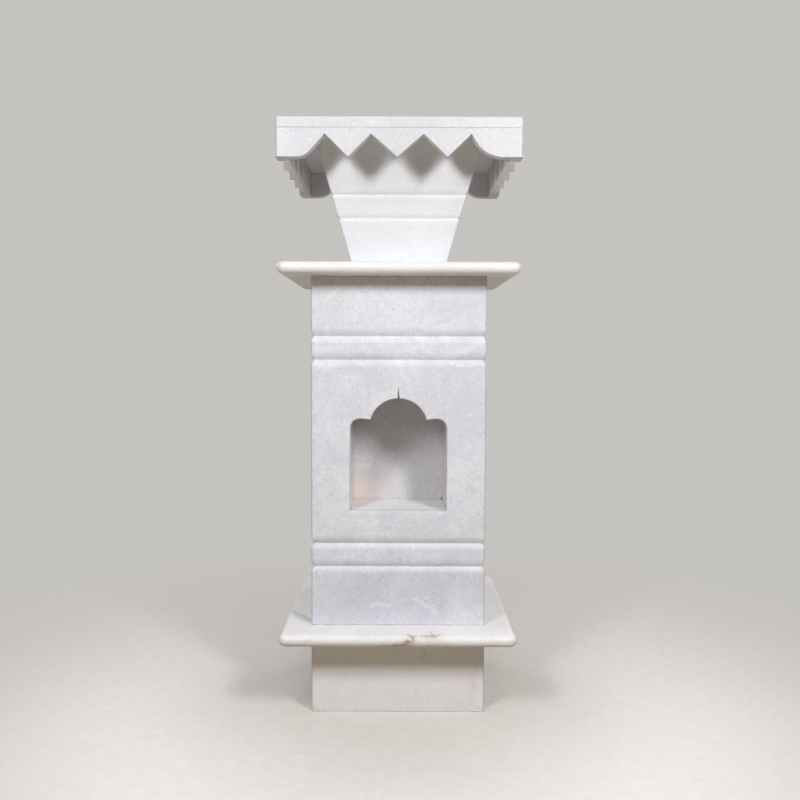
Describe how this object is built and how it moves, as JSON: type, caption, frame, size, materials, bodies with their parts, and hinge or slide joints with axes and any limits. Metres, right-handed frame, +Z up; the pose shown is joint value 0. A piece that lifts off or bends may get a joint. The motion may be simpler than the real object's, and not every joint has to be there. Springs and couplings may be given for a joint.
{
  "type": "tulsi vrindavan planter",
  "caption": "Square marble tulsi vrindavan: flared pot with a zigzag skirted rim, set on a grooved pillar with a cusped lamp niche and bullnosed ledges over a plinth.",
  "frame": {"origin": "centre of the plinth on the ground", "axes": "+Z up through the pot, -Y is the front with the lamp niche, +X to the right seen from the front"},
  "size_m": [0.359, 0.3685, 0.8955],
  "materials": {
    "plinth_marble": "honed and lightly polished white marble",
    "pillar_marble": "honed and lightly polished white marble",
    "pot_marble": "honed and lightly polished white marble",
    "ledge_marble": "honed and lightly polished white marble",
    "niche_marble": "honed and lightly polished white marble",
    "cornice_marble": "honed and lightly polished white marble",
    "block_marble": "honed and lightly polished white marble"
  },
  "bodies": {
    "base_section": {"plinth_front_panel": "plinth_marble", "plinth_right_panel": "plinth_marble", "plinth_back_panel": "plinth_marble", "plinth_left_panel": "plinth_marble", "plinth_corner_block_front_left": "block_marble", "plinth_corner_block_front_right": "block_marble", "plinth_corner_block_back_right": "block_marble", "plinth_corner_block_back_left": "block_marble", "lower_slab": "ledge_marble"},
    "pillar_section": {"pillar_front_panel": "pillar_marble", "pillar_right_panel": "pillar_marble", "pillar_back_panel": "pillar_marble", "pillar_left_panel": "pillar_marble", "pillar_lower_block_front_left": "block_marble", "pillar_lower_block_front_right": "block_marble", "pillar_lower_block_back_right": "block_marble", "pillar_lower_block_back_left": "block_marble", "pillar_upper_block_front_left": "block_marble", "pillar_upper_block_front_right": "block_marble", "pillar_upper_block_back_right": "block_marble", "pillar_upper_block_back_left": "block_marble", "niche_floor": "niche_marble", "niche_back": "niche_marble", "niche_left_cheek": "niche_marble", "niche_right_cheek": "niche_marble", "niche_ceiling": "niche_marble", "upper_slab": "ledge_marble"},
    "planter_section": {"pot_front_panel": "pot_marble", "pot_right_panel": "pot_marble", "pot_back_panel": "pot_marble", "pot_left_panel": "pot_marble", "pot_floor": "pot_marble", "rim_plate": "cornice_marble", "skirt_front": "cornice_marble", "skirt_right": "cornice_marble", "skirt_back": "cornice_marble", "skirt_left": "cornice_marble"}
  },
  "joints": [
    {"name": "pillar_lift", "type": "slide", "parent": "base_section", "child": "pillar_section", "axis": [0, 0, 1], "range_m": [0, 0.25]},
    {"name": "planter_lift", "type": "slide", "parent": "pillar_section", "child": "planter_section", "axis": [0, 0, 1], "range_m": [0, 0.25]}
  ]
}
